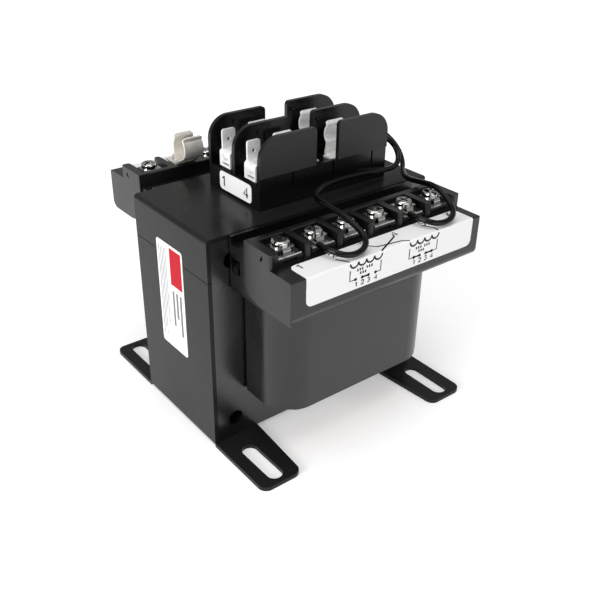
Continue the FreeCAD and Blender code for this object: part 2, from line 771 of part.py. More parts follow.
def load_clip(pole_y):
    """Load side: clip with a short toe, and a strip that steps up to the tail for the lead."""
    z = holder_floor_z
    strip_z = z + clip_t / 2
    path = [(load_clip_x, strip_z, 0), (tail_x, strip_z, strip_bend_r),
            (tail_x, strip_z + tail_h, strip_bend_r), (tail_end, strip_z + tail_h, 0)]
    tail = slab_xz(strip_outline(path, clip_t), pole_y - tab_w / 2, pole_y + tab_w / 2)
    toe_half = clip_base_half - clip_bend_r
    toe = box(load_clip_x - clip_len / 2 - clip_toe, load_clip_x, pole_y - toe_half, pole_y + toe_half,
              z, z + clip_t)
    clip = fuse_all([pole_clip(load_clip_x, pole_y), tail, toe])
    return clip.cut(post(load_clip_x, pole_y, rivet_shank_r, z - 1, z + clip_t + 1))


def clip_rivet(x, y):
    top = holder_floor_z + clip_t
    r = rivet_head_r
    keep = box(x - r, x + r, y - r, y + r, top, top + rivet_head_h)
    head = Part.makeSphere(r, Vector(x, y, top)).common(keep)
    return fuse_all([post(x, y, rivet_shank_r, top - rivet_len, top), head])


# Fuse holder

def lobe_corners(x0, x1, left_r, right_r):
    """Outline of one upright wall lobe: a wide corner at the outer end, a small one at the gap."""
    top = holder_z0 + holder_wall_h
    return [(x0, holder_top, 0), (x1, holder_top, 0), (x1, top, right_r), (x0, top, left_r)]


def fuse_holder():
    """Moulded tray with two open-ended bays, and lobed walls between and beside them."""
    tray_half = holder_half - holder_inset
    tray = box(holder_x0, holder_x1, -tray_half, tray_half, holder_z0, holder_top)
    cuts = []
    for y in pole_centres():
        cuts.append(box(holder_x0 - 1, holder_x1 + 1, y - bay_half, y + bay_half,
                        holder_floor_z, holder_top + 1))
    for x in groove_x:
        for y0, y1 in ((-tray_half, -tray_half + groove_depth), (tray_half - groove_depth, tray_half)):
            cuts.append(box(x - groove_w / 2, x + groove_w / 2, y0, y1, holder_top - groove_len, holder_top))
    pieces = [tray.cut(Part.makeCompound(cuts))]
    for y in (-pole_pitch, 0, pole_pitch):
        for x0, x1, left_r, right_r in ((holder_x0, lobe_gap_x0, lobe_outer_r, lobe_inner_r),
                                        (lobe_gap_x1, holder_x1, lobe_inner_r, lobe_outer_r)):
            pieces.append(slab_xz(lobe_corners(x0, x1, left_r, right_r),
                                  y - holder_wall_t / 2, y + holder_wall_t / 2))
    for y in pole_centres():
        pieces.append(box(holder_x0 - clip_t / 2, holder_x0 + bridge_seat_d, y - bay_half,
                          y - bridge_seat_gap, holder_floor_z - bridge_seat_drop,
                          holder_floor_z + bridge_seat_h))
        pieces.append(wall_rib(y + bay_half))
    holder = fuse_all(pieces)
    drill = [wall_pocket(y + bay_half) for y in pole_centres()]
    for y in pole_centres():
        drill.append(post(holder_screw_x, y, screw_shank_r, holder_z0 - 1, holder_floor_z + 1))
        for x in (line_clip_x, load_clip_x):
            drill.append(post(x, y, rivet_shank_r, holder_floor_z + clip_t - rivet_len, holder_floor_z + 1))
    return holder.cut(Part.makeCompound(drill))


def wall_rib(face_y):
    """Short level rib near the top of a wall lobe, on the face that looks into a bay."""
    x0 = lobe_gap_x1 + rib_gap
    z1 = holder_z0 + holder_wall_h - rib_drop
    return box(x0, x0 + rib_len, face_y - rib_rise, face_y + holder_wall_t / 2, z1 - rib_h, z1)


def wall_pocket(face_y):
    """Shallow stepped pocket in a wall beside the line clip, with a round recess at its top edge."""
    top = holder_z0 + holder_wall_h - pocket_drop
    step_z = holder_floor_z + pocket_low_h
    plan = [(pocket_low_x, holder_floor_z, 0), (pocket_x + pocket_len, holder_floor_z, 0),
            (pocket_x + pocket_len, top, 0), (pocket_x, top, 0), (pocket_x, step_z, 0),
            (pocket_low_x, step_z, 0)]
    recess = Part.makeCylinder(pocket_boss_r, pocket_depth,
                               Vector(pocket_boss_x, face_y, top + pocket_boss_r / 2), Vector(0, 1, 0))
    return slab_xz(plan, face_y, face_y + pocket_depth).fuse(recess)


# Leads

def receptacle(pole_y):
    """Crimped receptacle pushed on the tail of a load clip."""
    middle = holder_floor_z + clip_t / 2 + tail_h
    sleeve = box(receptacle_x, receptacle_x + receptacle_len, pole_y - receptacle_w / 2,
                 pole_y + receptacle_w / 2, middle - receptacle_h / 2, middle + receptacle_h / 2)
    long_edges = [e for e in sleeve.Edges if e.BoundBox.XLength > receptacle_len - 0.1]
    sleeve = sleeve.makeFillet(0.9, long_edges)
    slot = box(receptacle_x - 1, tail_end + 0.3, pole_y - tab_w / 2 - receptacle_gap,
               pole_y + tab_w / 2 + receptacle_gap, middle - clip_t / 2 - receptacle_gap,
               middle + clip_t / 2 + receptacle_gap)
    barrel = Part.makeCylinder(barrel_r, barrel_len + 0.5,
                               Vector(receptacle_x + receptacle_len - 0.5, pole_y, middle), Vector(1, 0, 0))
    return fuse_all([sleeve, barrel]).cut(slot)


lead_start_x = receptacle_x + receptacle_len + barrel_len
lead_start_z = holder_floor_z + clip_t / 2 + tail_h
ferrule_z = plate_z + ferrule_r
lead_end_y = plate_front + lead_end_gap
lead_end_z = ferrule_z + lead_end_lift
lead_entry_y = lead_end_y + lead_end_run

# Routes of the two leads from the receptacles to the front terminals
lead_a_points = [
    (lead_start_x, -pole_pitch / 2, lead_start_z),
    (47.5, -9.0, 115.2),
    (52.3, -12.9, 111.6),
    (52.0, -17.6, 106.8),
    (47.0, -21.2, 103.7),
    (37.0, -22.9, 104.6),
    (23.0, -23.8, 106.2),
    (9.0, -24.4, 107.0),
    (-3.6, -26.8, 106.6),
    (-9.6, -32.8, 106.2),
    (-9.8, -42.0, 106.0),
    (-9.8, -51.0, 105.4),
    (-8.6, -62.9, 100.6),
    (-13.9, -67.9, 98.4),
    (-21.55, -68.0, 98.1),
    (terminal_x[1] - ferrule_x, -lead_entry_y, lead_end_z),
    (terminal_x[1] - ferrule_x, -lead_end_y, lead_end_z),
]
lead_b_points = [
    (lead_start_x, pole_pitch / 2, lead_start_z),
    (47.2, 9.0, 115.2),
    (54.2, 5.6, 114.6),
    (57.3, -1.8, 112.4),
    (57.3, -11.0, 108.0),
    (53.4, -19.0, 104.0),
    (46.8, -25.2, 102.4),
    (42.2, -33.0, 102.8),
    (41.0, -42.2, 104.4),
    (40.6, -51.4, 105.8),
    (39.4, -62.9, 100.6),
    (34.0, -67.9, 98.4),
    (25.85, -68.0, 98.1),
    (terminal_x[4] - ferrule_x, -lead_entry_y, lead_end_z),
    (terminal_x[4] - ferrule_x, -lead_end_y, lead_end_z),
]


def lead_solid(name, points):
    """Round lead along straight runs joined by tangent arcs."""
    places = [Vector(*p) for p in points]
    edges = []
    start = places[0]
    length = 0.0
    radii = []
    for i in range(1, len(places) - 1):
        back = places[i - 1] - places[i]
        ahead = places[i + 1] - places[i]
        turn = math.pi - back.getAngle(ahead)
        cut = 0.45 * min(back.Length, ahead.Length)
        radius = cut / math.tan(turn / 2)
        radii.append(round(radius, 1))
        back.normalize()
        ahead.normalize()
        arc_start = places[i] + back * cut
        arc_end = places[i] + ahead * cut
        bisector = (back + ahead).normalize()
        middle = places[i] + bisector * (math.hypot(radius, cut) - radius)
        edges.append(Part.LineSegment(start, arc_start).toShape())
        edges.append(Part.Arc(arc_start, middle, arc_end).toShape())
        length += start.distanceToPoint(arc_start) + radius * turn
        start = arc_end
    edges.append(Part.LineSegment(start, places[-1]).toShape())
    length += start.distanceToPoint(places[-1])
    section = Part.Wire(Part.makeCircle(lead_d / 2, places[0], places[1] - places[0]))
    tube = Part.Wire(edges).makePipeShell([section], True, True)
    expected = math.pi * lead_d ** 2 / 4 * length
    print(name, "length", round(length, 1), "radii", radii, "volume ratio", round(tube.Volume / expected, 4))
    return tube


def ferrule(index):
    """Bare stranded end of a lead, under the saddle washer beside the screw."""
    x = terminal_x[index] - ferrule_x
    return Part.makeCylinder(ferrule_r, ferrule_len, Vector(x, -lead_end_y, ferrule_z), Vector(0, 1, 0))


def lead_out(x):
    """Sleeved end of a winding, from the coil up to the tail of a terminal."""
    y = -(tail_y + plate_t / 2 + lead_out_r)
    return post(x, y, lead_out_r, coil_z1, ledge_z - deck_t - boss_len - 0.5)


# Labels

def wiring_label(left_margin, right_margin):
    """Label that wraps from the ledge of a block down over its outer face, in the front position."""
    x0 = -block_half + left_margin
    x1 = block_half - right_margin
    low = block_z0 + wiring_label_low
    r = label_corner_r
    top = slab_xy([(x0, -block_front + label_fold_r, 0), (x1, -block_front + label_fold_r, 0),
                   (x1, -wiring_label_back, r), (x0, -wiring_label_back, r)], ledge_z, ledge_z + label_t)
    face = slab_xz([(x0, low, r), (x1, low, r), (x1, ledge_z - label_fold_r, 0),
                    (x0, ledge_z - label_fold_r, 0)], -block_front - label_t, -block_front)
    half_t = label_t / 2
    fold = [(-block_front + label_fold_r, ledge_z + half_t, 0),
            (-block_front - half_t, ledge_z + half_t, label_fold_r + half_t),
            (-block_front - half_t, ledge_z - label_fold_r, 0)]
    edge = slab_yz(strip_outline(fold, label_t), x0, x1)
    return fuse_all([top, face, edge])


def nameplate():
    return slab_yz(rectangle(nameplate_y0, nameplate_y1, nameplate_z0, nameplate_z1, nameplate_corner_r),
                   -outer_half - label_t, -outer_half)


def holder_label():
    z0 = holder_z0 + holder_label_z0
    plan = rectangle(holder_label_y0, holder_label_y1, z0, z0 + holder_label_h, holder_label_corner_r)
    return slab_yz(plan, holder_x0 - label_t, holder_x0)


os.makedirs("parts", exist_ok=True)

save("e_laminations", e_laminations())
save("i_laminations", i_laminations())
save("bobbin", bobbin())
save("primary_winding", coil_ring(primary_plan, bobbin_plan, coil_z0, coil_z1))
save("winding_insulation", coil_ring(insulation_plan, primary_plan, coil_z0, coil_z1))
save("secondary_winding", coil_ring(secondary_plan, insulation_plan, coil_z0, coil_z1))
save("outer_wrap", outer_wrap())

bracket = right_bracket()
save("right_bracket", bracket)
save("left_bracket", half_turn(bracket))
save("top_cap", top_cap())

block = terminal_block()
save("front_terminal_block", block)
save("rear_terminal_block", half_turn(block))
for number, x in enumerate(terminal_x, start=1):
    save("front_terminal_%d" % number, terminal_plate(x))
    save("rear_terminal_%d" % number, half_turn(terminal_plate(-x)))

clip_screw_x = [terminal_x[i] for i in clip_on_terminal]
rear_open_x = [x for x in terminal_x if x not in clip_screw_x]
save("front_clamp_washers", Part.makeCompound([clamp_washer(x) for x in terminal_x]))
save("rear_clamp_washers", Part.makeCompound([half_turn(clamp_washer(x)) for x in terminal_x]))
save("front_terminal_screws", Part.makeCompound(
    [pan_screw(x, -screw_y, clamp_seat, screw_len, screw_head_r, front_turn + front_turn_step * i)
     for i, x in enumerate(terminal_x)]))
save("rear_terminal_screws", Part.makeCompound(
    [pan_screw(x, screw_y, clamp_seat, screw_len, screw_head_r, rear_turn + rear_turn_step * i)
     for i, x in enumerate(rear_open_x)]))
save("secondary_clip_screws", Part.makeCompound(
    [pan_screw(x, screw_y, clamp_seat + clip_t, screw_len + clip_t, clip_screw_head_r, clip_screw_turn)
     for x in clip_screw_x]))
for number, x in enumerate(clip_screw_x, start=1):
    save("secondary_clip_%d" % number, secondary_clip(x))

save("fuse_holder", fuse_holder())
for number, y in enumerate(pole_centres(), start=1):
    save("line_clip_%d" % number, line_clip(y))
    save("load_clip_%d" % number, load_clip(y))
save("fuse_clip_rivets", Part.makeCompound(
    [clip_rivet(x, y) for x in (line_clip_x, load_clip_x) for y in pole_centres()]))
save("fuse_holder_screws", Part.makeCompound(
    [pan_screw(holder_screw_x, y, holder_floor_z, holder_floor + holder_screw_grip, clip_screw_head_r,
               holder_screw_turn) for y in pole_centres()]))
save("lead_receptacles", Part.makeCompound([receptacle(y) for y in pole_centres()]))
save("lead_ferrules", Part.makeCompound([ferrule(1), ferrule(4)]))
save("lead_a", lead_solid("lead_a", lead_a_points))
save("lead_b", lead_solid("lead_b", lead_b_points))
save("front_lead_outs", Part.makeCompound([lead_out(x) for x in terminal_x]))
save("rear_lead_outs", Part.makeCompound([half_turn(lead_out(x)) for x in terminal_x]))

save("front_wiring_label", wiring_label(label_end_margin, label_right_margin))
save("rear_wiring_label", half_turn(wiring_label(label_right_margin, label_end_margin)))
save("nameplate", nameplate())
save("fuse_holder_label", holder_label())
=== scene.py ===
import bpy
import json
import math
from mathutils import Matrix, Vector


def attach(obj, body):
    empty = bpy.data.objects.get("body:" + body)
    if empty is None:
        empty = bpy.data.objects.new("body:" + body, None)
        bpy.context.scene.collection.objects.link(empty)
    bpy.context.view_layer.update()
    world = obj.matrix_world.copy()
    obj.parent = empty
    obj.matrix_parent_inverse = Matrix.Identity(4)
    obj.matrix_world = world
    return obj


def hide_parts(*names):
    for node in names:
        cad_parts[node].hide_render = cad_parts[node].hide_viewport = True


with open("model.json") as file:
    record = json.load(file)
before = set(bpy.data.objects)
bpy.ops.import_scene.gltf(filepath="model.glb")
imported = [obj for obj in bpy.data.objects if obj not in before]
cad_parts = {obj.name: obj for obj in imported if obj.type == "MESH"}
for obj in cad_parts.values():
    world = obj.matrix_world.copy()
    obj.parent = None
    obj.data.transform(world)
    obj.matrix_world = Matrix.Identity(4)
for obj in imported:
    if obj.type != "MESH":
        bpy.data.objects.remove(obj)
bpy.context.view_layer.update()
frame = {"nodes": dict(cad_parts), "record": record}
NODES = frame["nodes"]
MM = 0.001

# Camera, solved from the straight edges in the photograph, with its angles in degrees
SENSOR_MM = 36.0
LENS_MM = 48.26
AZIMUTH = 38.18
ELEVATION = 29.72
ROLL = 0.80
LOOK_AT = Vector((6.80, 0.0, 41.0)) * MM
DISTANCE = 379.8 * MM


def make_camera():
    azimuth = math.radians(AZIMUTH)
    elevation = math.radians(ELEVATION)
    roll = math.radians(ROLL)
    forward = Vector((
        math.sin(azimuth) * math.cos(elevation),
        math.cos(azimuth) * math.cos(elevation),
        -math.sin(elevation),
    ))
    level = Vector((math.cos(azimuth), -math.sin(azimuth), 0))
    upright = level.cross(forward)
    right = level * math.cos(roll) + upright * math.sin(roll)
    up = upright * math.cos(roll) - level * math.sin(roll)
    data = bpy.data.cameras.new("camera")
    data.lens = LENS_MM
    data.sensor_width = SENSOR_MM
    data.clip_start = 0.01
    data.clip_end = 20.0
    camera = bpy.data.objects.new("camera", data)
    bpy.context.scene.collection.objects.link(camera)
    turn = Matrix((right, up, -forward)).transposed().to_4x4()
    camera.matrix_world = Matrix.Translation(LOOK_AT - forward * DISTANCE) @ turn
    bpy.context.scene.camera = camera


# Shader nodes that the materials share

def new_material(name, colour, roughness, metallic=0.0, specular=0.5):
    material = bpy.data.materials.new(name)
    material.use_nodes = True
    shader = material.node_tree.nodes["Principled BSDF"]
    shader.inputs["Base Color"].default_value = (*colour, 1)
    shader.inputs["Roughness"].default_value = roughness
    shader.inputs["Metallic"].default_value = metallic
    shader.inputs["Specular IOR Level"].default_value = specular
    return material, material.node_tree, shader


def plain_material(name, colour, roughness, **more):
    return new_material(name, colour, roughness, **more)[0]


def add_noise(tree, scale, detail=4.0):
    coords = tree.nodes.new("ShaderNodeTexCoord")
    noise = tree.nodes.new("ShaderNodeTexNoise")
    noise.inputs["Scale"].default_value = scale
    noise.inputs["Detail"].default_value = detail
    tree.links.new(coords.outputs["Object"], noise.inputs["Vector"])
    return noise.outputs["Fac"]


# Radians that the wave texture runs through in one unit, at a scale of 1
WAVE_RADIANS = 20


def add_bands(tree, direction, pitch):
    """Wave with one band for each pitch in millimetres."""
    coords = tree.nodes.new("ShaderNodeTexCoord")
    wave = tree.nodes.new("ShaderNodeTexWave")
    wave.bands_direction = direction
    wave.inputs["Scale"].default_value = math.tau / (WAVE_RADIANS * pitch * MM)
    tree.links.new(coords.outputs["Object"], wave.inputs["Vector"])
    return wave


def add_math(tree, operation, *values):
    """Output of a math node, whose inputs are sockets or numbers."""
    node = tree.nodes.new("ShaderNodeMath")
    node.operation = operation
    for socket, value in zip(node.inputs, values):
        if isinstance(value, float):
            socket.default_value = value
        else:
            tree.links.new(value, socket)
    return node.outputs["Value"]


def add_range(tree, value, start, end, low, high):
    """Socket that goes from low to high as the value goes from start to end."""
    spread = tree.nodes.new("ShaderNodeMapRange")
    spread.inputs["From Min"].default_value = start
    spread.inputs["From Max"].default_value = end
    spread.inputs["To Min"].default_value = low
    spread.inputs["To Max"].default_value = high
    tree.links.new(value, spread.inputs["Value"])
    return spread.outputs["Result"]


# Values of the noise between which roughness and colour change
ROUGHNESS_SPAN = (0.3, 0.7)
COLOUR_SPAN = (0.35, 0.65)


def vary_roughness(tree, shader, noise, low, high):
    roughness = add_range(tree, noise, *ROUGHNESS_SPAN, low, high)
    tree.links.new(roughness, shader.inputs["Roughness"])


def vary_colour(tree, shader, noise, dark, light):
    ramp = tree.nodes.new("ShaderNodeValToRGB")
    for element, position, colour in zip(ramp.color_ramp.elements, COLOUR_SPAN, (dark, light)):
        element.position = position
        element.color = (*colour, 1)
    tree.links.new(noise, ramp.inputs["Fac"])
    tree.links.new(ramp.outputs["Color"], shader.inputs["Base Color"])


def add_bump(tree, shader, height, depth_mm, strength=1.0):
    bump = tree.nodes.new("ShaderNodeBump")
    bump.inputs["Strength"].default_value = strength
    bump.inputs["Distance"].default_value = depth_mm * MM
    tree.links.new(height, bump.inputs["Height"])
    tree.links.new(bump.outputs["Normal"], shader.inputs["Normal"])


# Materials

def varnished_black(name, level, roughness, grain=900.0, bump_mm=0.02, specular=0.5):
    """Black paint, varnish or moulding with a fine grain and a faint uneven sheen."""
    colour = (level, level, level * 1.02)
    material, tree, shader = new_material(name, colour, roughness, specular=specular)
    fine = add_noise(tree, grain)
    broad = add_noise(tree, scale=45.0, detail=2.0)
    vary_colour(tree, shader, broad, dark=[c * 0.85 for c in colour], light=[c * 1.15 for c in colour])
    vary_roughness(tree, shader, broad, low=roughness - 0.05, high=roughness + 0.07)
    add_bump(tree, shader, fine, bump_mm, strength=0.5)
    return material


def plated_metal(name, colour, roughness, scale=260.0, metallic=1.0):
    """Tin or zinc plate, a little duller in patches."""
    material, tree, shader = new_material(name, colour, roughness, metallic=metallic)
    noise = add_noise(tree, scale, detail=5.0)
    vary_roughness(tree, shader, noise, low=roughness * 0.75, high=roughness * 1.35)
    vary_colour(tree, shader, noise, dark=[c * 0.86 for c in colour], light=colour)
    add_bump(tree, shader, noise, depth_mm=0.03, strength=0.35)
    return material


SMOOTH_COLOUR = (0.003, 0.003, 0.003)
SMOOTH_ROUGHNESS = 0.26
# Colour of the outer wall faces, lighter than the base: a painted sheen, beside their real rougher finish
MATT_SHEEN_COLOUR = (0.015, 0.015, 0.0155)
MATT_ROUGHNESS = 0.50
# Beyond these distances from the middle and from the floor lie the outer faces of the walls
SHEEN_AND_MATT_FROM_Y = 18.8
SHEEN_AND_MATT_FROM_Z = 113.4


def holder_black():
    """Black moulding: glossy base and bays, with a rougher finish on the outer faces of the walls, which
    are also coloured lighter there as a painted sheen.
    """
    material, tree, shader = new_material("holder_plastic", SMOOTH_COLOUR, SMOOTH_ROUGHNESS, specular=0.38)
    place = tree.nodes.new("ShaderNodeNewGeometry")
    axes = tree.nodes.new("ShaderNodeSeparateXYZ")
    tree.links.new(place.outputs["Position"], axes.inputs["Vector"])
    outward = add_math(tree, "ABSOLUTE", axes.outputs["Y"])
    at_face = add_math(tree, "GREATER_THAN", outward, SHEEN_AND_MATT_FROM_Y * MM)
    on_wall = add_math(tree, "GREATER_THAN", axes.outputs["Z"], SHEEN_AND_MATT_FROM_Z * MM)
    # Mask of the outer wall faces: rougher there, and painted lighter as a sheen
    matt_and_sheen = add_math(tree, "MULTIPLY", at_face, on_wall)
    colour = tree.nodes.new("ShaderNodeMix")
    colour.data_type = "RGBA"
    colour.inputs["A"].default_value = (*SMOOTH_COLOUR, 1)
    colour.inputs["B"].default_value = (*MATT_SHEEN_COLOUR, 1)
    tree.links.new(matt_and_sheen, colour.inputs["Factor"])
    tree.links.new(colour.outputs["Result"], shader.inputs["Base Color"])
    roughness = add_range(tree, matt_and_sheen, start=0, end=1, low=SMOOTH_ROUGHNESS, high=MATT_ROUGHNESS)
    tree.links.new(roughness, shader.inputs["Roughness"])
    fine = add_noise(tree, scale=1400.0)
    add_bump(tree, shader, fine, depth_mm=0.012, strength=0.5)
    return material


SHEET_LINE_PITCH = 3.1583
WIRE_PITCH = 1.9739


def laminated_black():
    """Varnished sheet stack: the sheet edges show as fine lines across Y."""
    colour = (0.006, 0.006, 0.006)
    material, tree, shader = new_material("core_black", colour, roughness=0.34, specular=0.92)
    lines = add_bands(tree, "Y", SHEET_LINE_PITCH)
    lines.inputs["Distortion"].default_value = 0.6
    lines.inputs["Detail"].default_value = 2.0
    add_bump(tree, shader, lines.outputs["Fac"], depth_mm=0.10, strength=0.6)
    broad = add_noise(tree, scale=60.0, detail=3.0)
    vary_roughness(tree, shader, broad, low=0.24, high=0.34)
    vary_colour(tree, shader, broad, dark=[c * 0.8 for c in colour], light=[c * 1.3 for c in colour])
    return material


def wound_copper():
    """Varnished wire: the turns show as bands up the winding."""
    colour = (0.55, 0.20, 0.08)
    material, tree, shader = new_material("winding_copper", colour, roughness=0.35, metallic=1.0)
    turns = add_bands(tree, "Z", WIRE_PITCH)
    add_bump(tree, shader, turns.outputs["Fac"], depth_mm=0.3)
    return material


BLACKS = {
    "sheet_black": dict(level=0.013, roughness=0.27, specular=0.145),
    "wrap_black": dict(level=0.006, roughness=0.27, grain=650.0, bump_mm=0.04, specular=0.60),
    "bobbin_plastic": dict(level=0.004, roughness=0.36, specular=0.28),
    "block_plastic": dict(level=0.003, roughness=0.32, grain=1400.0, bump_mm=0.012, specular=0.55),
}
METALS = {
    "screw_zinc": dict(colour=(0.55, 0.55, 0.54), roughness=0.13),
    "terminal_tin": dict(colour=(0.56, 0.56, 0.55), roughness=0.16),
    "washer_zinc": dict(colour=(0.52, 0.52, 0.51), roughness=0.13),
    "clip_tin": dict(colour=(0.97, 0.97, 0.96), roughness=0.22, metallic=0.24),
    "clip_brass": dict(colour=(0.96, 0.93, 0.86), roughness=0.20, metallic=0.45),
    "receptacle_tin": dict(colour=(0.82, 0.82, 0.81), roughness=0.32, metallic=0.5),
    "strand_copper": dict(colour=(0.52, 0.49, 0.45), roughness=0.30, scale=2500.0),
}
PLAINS = {
    "insulation_paper": dict(colour=(0.45, 0.33, 0.18), roughness=0.8),
    "lead_black": dict(colour=(0.0015, 0.0015, 0.0015), roughness=0.18, specular=0.22),
    "label_white": dict(colour=(0.88, 0.88, 0.88), roughness=0.42),
    "print_black": dict(colour=(0.006, 0.006, 0.006), roughness=0.6, specular=0.2),
    "print_grey": dict(colour=(0.16, 0.16, 0.16), roughness=0.5),
    "print_red": dict(colour=(0.50, 0.012, 0.025), roughness=0.6, specular=0.15),
}


def build_materials():
    materials = {
        "core_black": laminated_black(),
        "holder_plastic": holder_black(),
        "winding_copper": wound_copper(),
    }
    for build, looks in ((varnished_black, BLACKS), (plated_metal, METALS), (plain_material, PLAINS)):
        for name, look in looks.items():
            materials[name] = build(name, **look)
    return materials


MATERIALS = build_materials()
SLOT_OF = {row["node"]: row["material_slot"] for row in frame["record"]["subparts"]}


def dress_cad_nodes():
    for name, node in NODES.items():
        node.data.materials.clear()
        node.data.materials.append(MATERIALS[SLOT_OF[name]])


def add_piece(name, mesh_or_curve, material):
    """Piece of the scene that rides on the part."""
    piece = bpy.data.objects.new(name, mesh_or_curve)
    bpy.context.scene.collection.objects.link(piece)
    piece.data.materials.append(MATERIALS[material])
    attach(piece, "root")
    return piece


# Leads, from the receptacles on the holder to the front terminals

LEAD_D = 2.4
LEAD_START_X = 40.4
LEAD_START_Z = 115.2
LEAD_END_Y = -56.05
LEAD_END_Z = 99.8
LEAD_A_ROUTE = [
    (LEAD_START_X, -9.0, LEAD_START_Z),
    (47.5, -9.0, 115.2),
    (52.3, -12.9, 111.6),
    (52.0, -17.6, 106.8),
    (47.0, -21.2, 103.7),
    (37.0, -22.9, 104.6),
    (23.0, -23.8, 106.2),
    (9.0, -24.4, 107.0),
    (-3.6, -26.8, 106.6),
    (-9.6, -32.8, 106.2),
    (-9.8, -42.0, 106.0),
    (-9.8, -51.0, 105.4),
    (-8.6, -62.9, 100.6),
    (-13.9, -67.9, 98.4),
    (-21.55, -68.0, 98.1),
    (-26.6, -63.2, LEAD_END_Z),
    (-26.6, LEAD_END_Y, LEAD_END_Z),
]
LEAD_B_ROUTE = [
    (LEAD_START_X, 9.0, LEAD_START_Z),
    (47.2, 9.0, 115.2),
    (54.2, 5.6, 114.6),
    (57.3, -1.8, 112.4),
    (57.3, -11.0, 108.0),
    (53.4, -19.0, 104.0),
    (46.8, -25.2, 102.4),
    (42.2, -33.0, 102.8),
    (41.0, -42.2, 104.4),
    (40.6, -51.4, 105.8),
    (39.4, -62.9, 100.6),
    (34.0, -67.9, 98.4),
    (25.85, -68.0, 98.1),
    (20.8, -63.2, LEAD_END_Z),
    (20.8, LEAD_END_Y, LEAD_END_Z),
]


def add_lead(name, route):
    """Soft lead along the route's points, held at both ends."""
    curve = bpy.data.curves.new(name, "CURVE")
    curve.dimensions = "3D"
    curve.resolution_u = 10
    curve.bevel_depth = LEAD_D / 2 * MM
    curve.bevel_resolution = 5
    spline = curve.splines.new("NURBS")
    spline.points.add(len(route) - 1)
    for point, place in zip(spline.points, route):
        point.co = (*(Vector(place) * MM), 1)
    spline.order_u = 3
    spline.use_endpoint_u = True
    piece = add_piece(name + "_soft", curve, "lead_black")
    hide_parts(name)
    return piece


def spline_length(piece):
    """Length of the piece's line, from the points that its spline gives."""
    bare = piece.data.copy()
    bare.bevel_depth = 0
    probe = bpy.data.objects.new("probe", bare)
    mesh = bpy.data.meshes.new_from_object(probe)
    points = [v.co.copy() for v in mesh.vertices]
    length = sum((b - a).length for a, b in zip(points, points[1:]))
    bpy.data.objects.remove(probe)
    bpy.data.curves.remove(bare)
    bpy.data.meshes.remove(mesh)
    return length


# Flat shapes of the print: vertices and faces from (u, v) points that a place function puts on a label

def ribbon(points, width, place):
    """Flat band of the given width along the points."""
    verts = []
    for i, (u, v) in enumerate(points):
        before = points[max(i - 1, 0)]
        after = points[min(i + 1, len(points) - 1)]
        run_u = after[0] - before[0]
        run_v = after[1] - before[1]
        length = math.hypot(run_u, run_v)
        side_u = -run_v / length * width / 2
        side_v = run_u / length * width / 2
        verts += [place(u + side_u, v + side_v), place(u - side_u, v - side_v)]
    faces = [(i, i + 1, i + 3, i + 2) for i in range(0, len(verts) - 2, 2)]
    return verts, faces


def disc(u, v, radius, place, sides=20):
    """Round dot with its centre at (u, v)."""
    angles = [math.tau * i / sides for i in range(sides)]
    verts = [place(u + radius * math.cos(angle), v + radius * math.sin(angle)) for angle in angles]
    return verts, [tuple(range(sides))]


def patch(u0, u1, v0, v1, place):
    """Rectangle between two corners."""
    return [place(u0, v0), place(u1, v0), place(u1, v1), place(u0, v1)], [(0, 1, 2, 3)]


def lower_half(u, v, radius, steps=10):
    """Points of the lower half of the circle round (u, v), from left to right."""
    angles = [math.pi * (1 + i / steps) for i in range(steps + 1)]
    return [(u + radius * math.cos(angle), v + radius * math.sin(angle)) for angle in angles]


# Points of each numeral's stroke, as shares of its height
STROKES = {
    "1": [(0.2, 0.75), (0.5, 1.0), (0.5, 0.0)],
    "2": [(0.0, 0.8), (0.15, 0.97), (0.5, 1.0), (0.7, 0.8), (0.65, 0.55), (0.0, 0.0), (0.7, 0.0)],
    "3": [(0.0, 0.9), (0.35, 1.0), (0.65, 0.8), (0.3, 0.53), (0.7, 0.3), (0.35, 0.0), (0.0, 0.1)],
    "4": [(0.5, 0.0), (0.5, 1.0), (0.0, 0.3), (0.7, 0.3)],
    "5": [(0.65, 1.0), (0.1, 1.0), (0.05, 0.58), (0.45, 0.62), (0.7, 0.35), (0.45, 0.0), (0.0, 0.08)],
    "6": [(0.6, 0.95), (0.2, 0.75), (0.0, 0.35), (0.2, 0.0), (0.55, 0.02), (0.7, 0.28), (0.45, 0.52),
          (0.05, 0.4)],
}


def digit(sign, u, v, height, width, place):
    """A plain one-stroke numeral with its lower left corner at (u, v)."""
    points = [(u + a * height, v + b * height) for a, b in STROKES[sign]]
    return ribbon(points, width, place)


def print_piece(name, shapes, material):
    """One flat printed piece from a list of (vertices, faces), in millimetres."""
    verts = []
    faces = []
    for part_verts, part_faces in shapes:
        base = len(verts)
        verts += [tuple(Vector(v) * MM) for v in part_verts]
        faces += [tuple(base + i for i in face) for face in part_faces]
    mesh = bpy.data.meshes.new(name)
    mesh.from_pydata(verts, [], faces)
    mesh.update()
    return add_piece(name, mesh, material)


# The labels' faces, with the print just clear of them

PRINT_LIFT = 0.03
FRONT_FACE_Y = -69.35 - PRINT_LIFT
LEDGE_FACE_Z = 96.2 + PRINT_LIFT
END_FACE_X = -26.7 - PRINT_LIFT
PLATE_FACE_X = -58.85 - PRINT_LIFT


def on_front(u, v):
    return (u, FRONT_FACE_Y, v)


def on_ledge(u, v):
    return (u, v, LEDGE_FACE_Z)


def on_rear(u, v):
    """The front face turned half round, for the label of the other block."""
    return (-u, -FRONT_FACE_Y, v)


def on_rear_ledge(u, v):
    return (-u, -v, LEDGE_FACE_Z)


def on_plate(u, v):
    """Faces -X: u runs from the rear edge forwards, v is height."""
    return (PLATE_FACE_X, -u, v)


def on_end(u, v):
    return (END_FACE_X, -u, v)


# Wiring labels: two schematics on the face, lines and terminal numbers on the ledge

